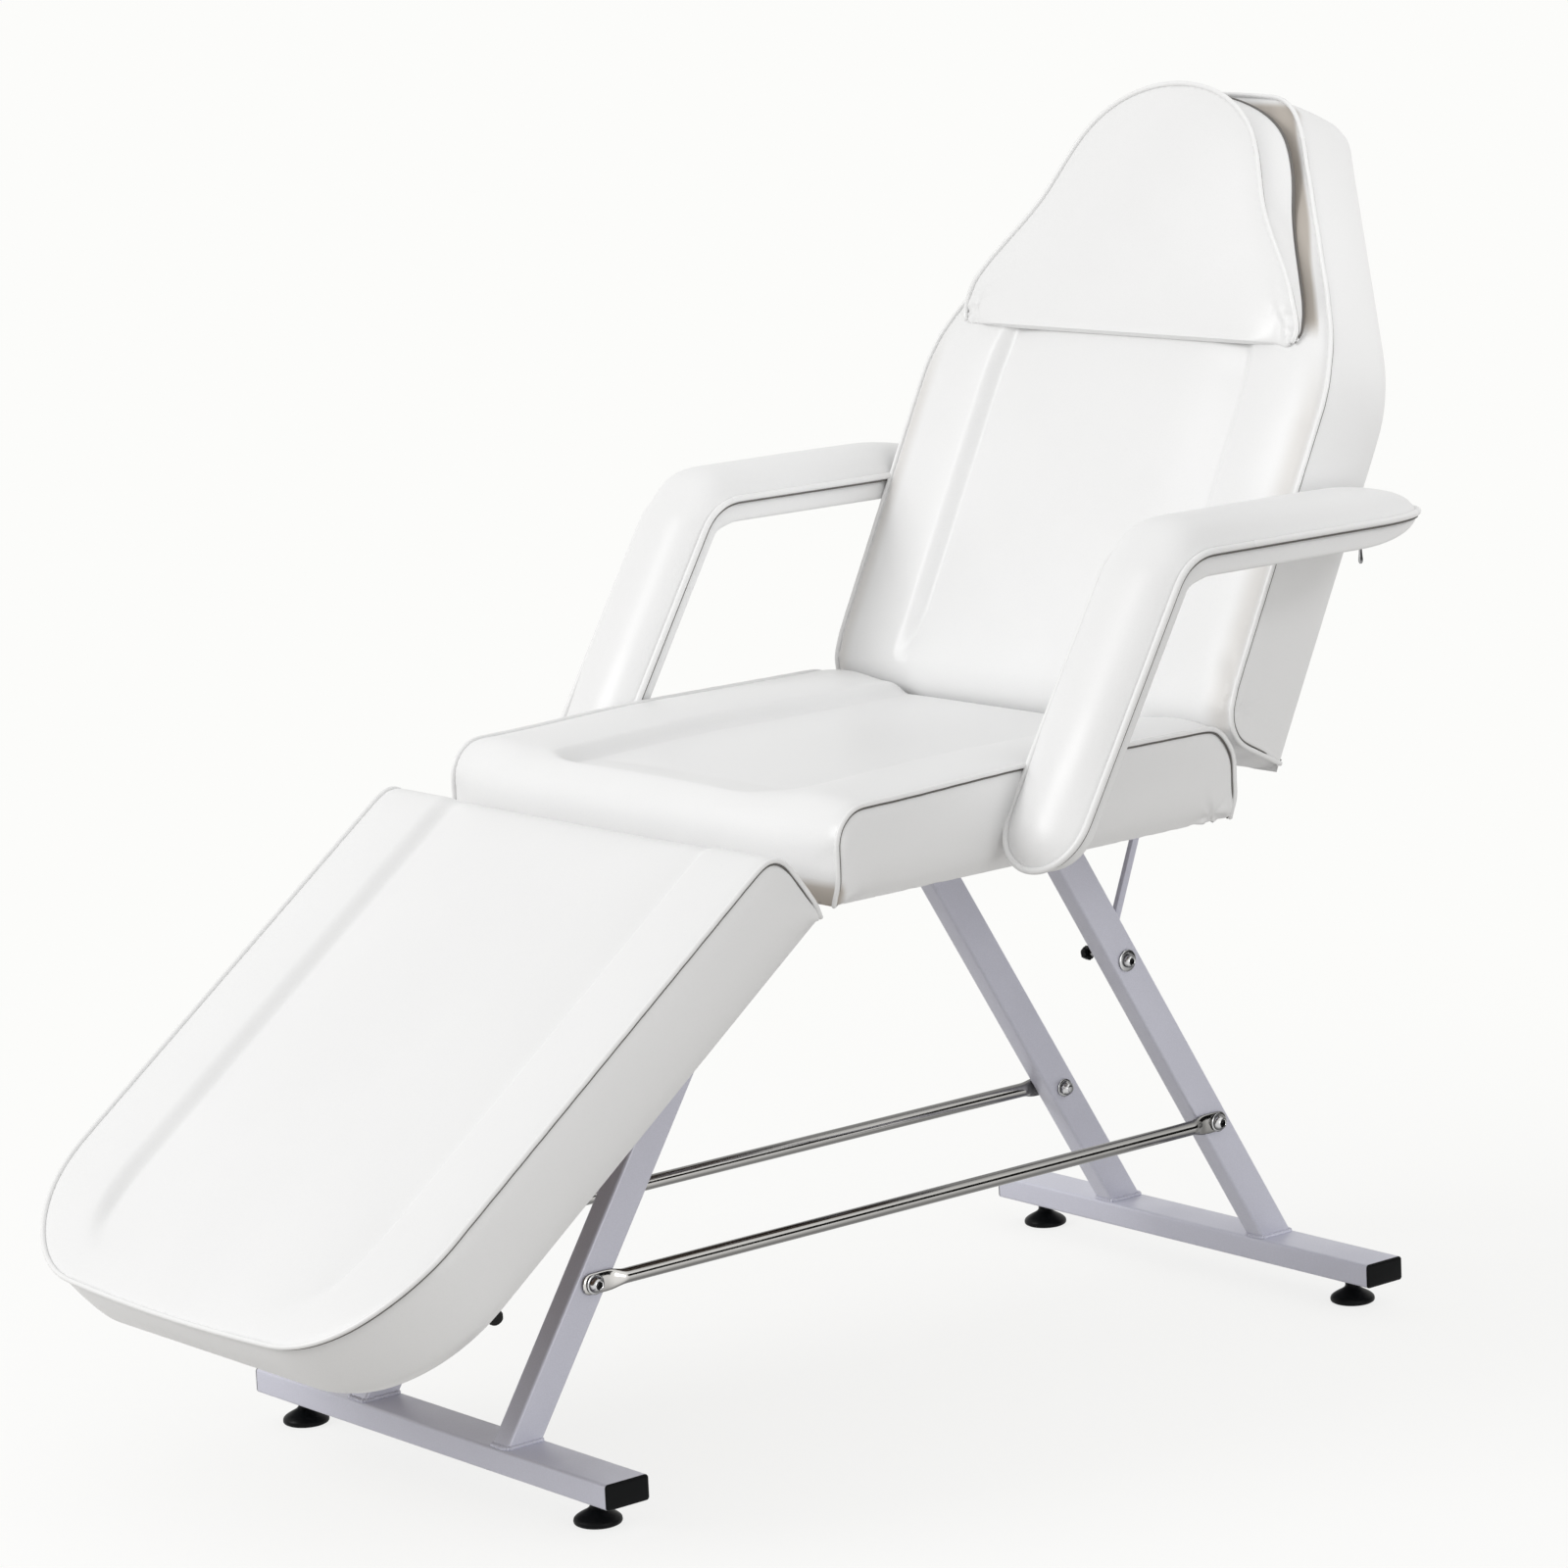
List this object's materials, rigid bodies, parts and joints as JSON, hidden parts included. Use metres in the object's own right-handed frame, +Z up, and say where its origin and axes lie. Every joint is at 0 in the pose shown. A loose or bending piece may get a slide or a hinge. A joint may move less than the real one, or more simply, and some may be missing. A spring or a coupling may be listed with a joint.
{
  "type": "adjustable treatment bed",
  "caption": "Padded three-section salon bed set as a chair: tilting leg rest, level seat, reclining backrest, head pillow and arms on a steel A-leg base with levelling feet.",
  "frame": {"origin": "middle of the plan outline, on the floor", "axes": "+X to the sitter's left, +Y from the feet to the head, +Z up"},
  "size_m": [0.818, 1.4554, 1.2499],
  "materials": {
    "leatherette": "smooth satin white leatherette over foam",
    "frame_steel": "silver powder coat",
    "chrome": "polished chrome",
    "zinc": "bright zinc plate",
    "black_plastic": "satin black",
    "rubber": "matt black",
    "plywood": "raw plywood",
    "zip_metal": "dull grey metal"
  },
  "bodies": {
    "base": {"arm_pad_left": "leatherette", "arm_pad_right": "leatherette", "arm_strap_left": "frame_steel", "arm_strap_right": "frame_steel", "backrest_hinge_rod": "zinc", "backrest_lug_left": "frame_steel", "backrest_lug_right": "frame_steel", "front_bar_cap_left": "black_plastic", "front_bar_cap_right": "black_plastic", "front_foot_bar": "frame_steel", "front_leg_left": "frame_steel", "front_leg_right": "frame_steel", "legrest_hinge_rod": "zinc", "pivot_bolt_front": "zinc", "pivot_bolt_rear": "zinc", "pivot_nut_front": "black_plastic", "pivot_nut_rear": "black_plastic", "rear_bar_cap_left": "black_plastic", "rear_bar_cap_right": "black_plastic", "rear_foot_bar": "frame_steel", "rear_leg_left": "frame_steel", "rear_leg_right": "frame_steel", "seat_board": "plywood", "seat_cross_tube_front": "frame_steel", "seat_cross_tube_rear": "frame_steel", "seat_cushion": "leatherette", "seat_rail_left": "frame_steel", "seat_rail_right": "frame_steel", "tie_bolt_front_left": "zinc", "tie_bolt_front_right": "zinc", "tie_bolt_rear_left": "zinc", "tie_bolt_rear_right": "zinc", "tie_rod_left": "chrome", "tie_rod_right": "chrome"},
    "legrest": {"legrest_board": "plywood", "legrest_bumper_left": "rubber", "legrest_bumper_right": "rubber", "legrest_cushion": "leatherette", "legrest_hinge_arm_left": "frame_steel", "legrest_hinge_arm_right": "frame_steel", "legrest_rack": "frame_steel"},
    "backrest": {"backrest_board": "plywood", "backrest_cushion": "leatherette", "backrest_hinge_arm_left": "frame_steel", "backrest_hinge_arm_right": "frame_steel", "backrest_rack": "frame_steel", "pillow_hinge_flap": "leatherette"},
    "head_pillow": {"head_pillow": "leatherette"},
    "legrest_prop": {"legrest_prop": "frame_steel"},
    "backrest_prop": {"backrest_prop": "frame_steel"},
    "levelling_foot_front_left": {"levelling_foot_front_left": "black_plastic"},
    "levelling_foot_front_right": {"levelling_foot_front_right": "black_plastic"},
    "levelling_foot_rear_left": {"levelling_foot_rear_left": "black_plastic"},
    "levelling_foot_rear_right": {"levelling_foot_rear_right": "black_plastic"},
    "zip_pull_left": {"zip_pull_left": "zip_metal"},
    "zip_pull_right": {"zip_pull_right": "zip_metal"}
  },
  "joints": [
    {"name": "legrest_tilt", "type": "hinge", "parent": "base", "child": "legrest", "pos_m": [0, -0.15099, 0.5362], "axis": [1, 0, 0], "range_deg": [-37.1, 0]},
    {"name": "backrest_recline", "type": "hinge", "parent": "base", "child": "backrest", "pos_m": [0, 0.3795, 0.592], "axis": [1, 0, 0], "range_deg": [-63.6, 0]},
    {"name": "head_pillow_flip", "type": "hinge", "parent": "backrest", "child": "head_pillow", "pos_m": [0, 0.52367, 1.00162], "axis": [1, 0, 0], "range_deg": [0, 80]},
    {"name": "legrest_prop_swing", "type": "hinge", "parent": "base", "child": "legrest_prop", "pos_m": [0.0975, -0.20814, 0.382], "axis": [1, 0, 0], "range_deg": [-54.72, 0]},
    {"name": "backrest_prop_swing", "type": "hinge", "parent": "base", "child": "backrest_prop", "pos_m": [0.0975, 0.36936, 0.382], "axis": [1, 0, 0], "range_deg": [-31.16, 0]},
    {"name": "levelling_foot_front_left_screw", "type": "slide", "parent": "base", "child": "levelling_foot_front_left", "axis": [0, 0, -1], "range_m": [0, 0.012]},
    {"name": "levelling_foot_front_right_screw", "type": "slide", "parent": "base", "child": "levelling_foot_front_right", "axis": [0, 0, -1], "range_m": [0, 0.012]},
    {"name": "levelling_foot_rear_left_screw", "type": "slide", "parent": "base", "child": "levelling_foot_rear_left", "axis": [0, 0, -1], "range_m": [0, 0.012]},
    {"name": "levelling_foot_rear_right_screw", "type": "slide", "parent": "base", "child": "levelling_foot_rear_right", "axis": [0, 0, -1], "range_m": [0, 0.012]},
    {"name": "zip_pull_left_swing", "type": "hinge", "parent": "base", "child": "zip_pull_left", "pos_m": [0.357, 0.49201, 0.8137], "axis": [1, 0, 0], "range_deg": [-60, 60]},
    {"name": "zip_pull_right_swing", "type": "hinge", "parent": "base", "child": "zip_pull_right", "pos_m": [-0.357, 0.49201, 0.8137], "axis": [1, 0, 0], "range_deg": [-60, 60]}
  ],
  "couplings": [
    {"joint": "legrest_prop_swing", "follows": "legrest_tilt", "ratio": 1.475},
    {"joint": "backrest_prop_swing", "follows": "backrest_recline", "ratio": 0.49}
  ]
}
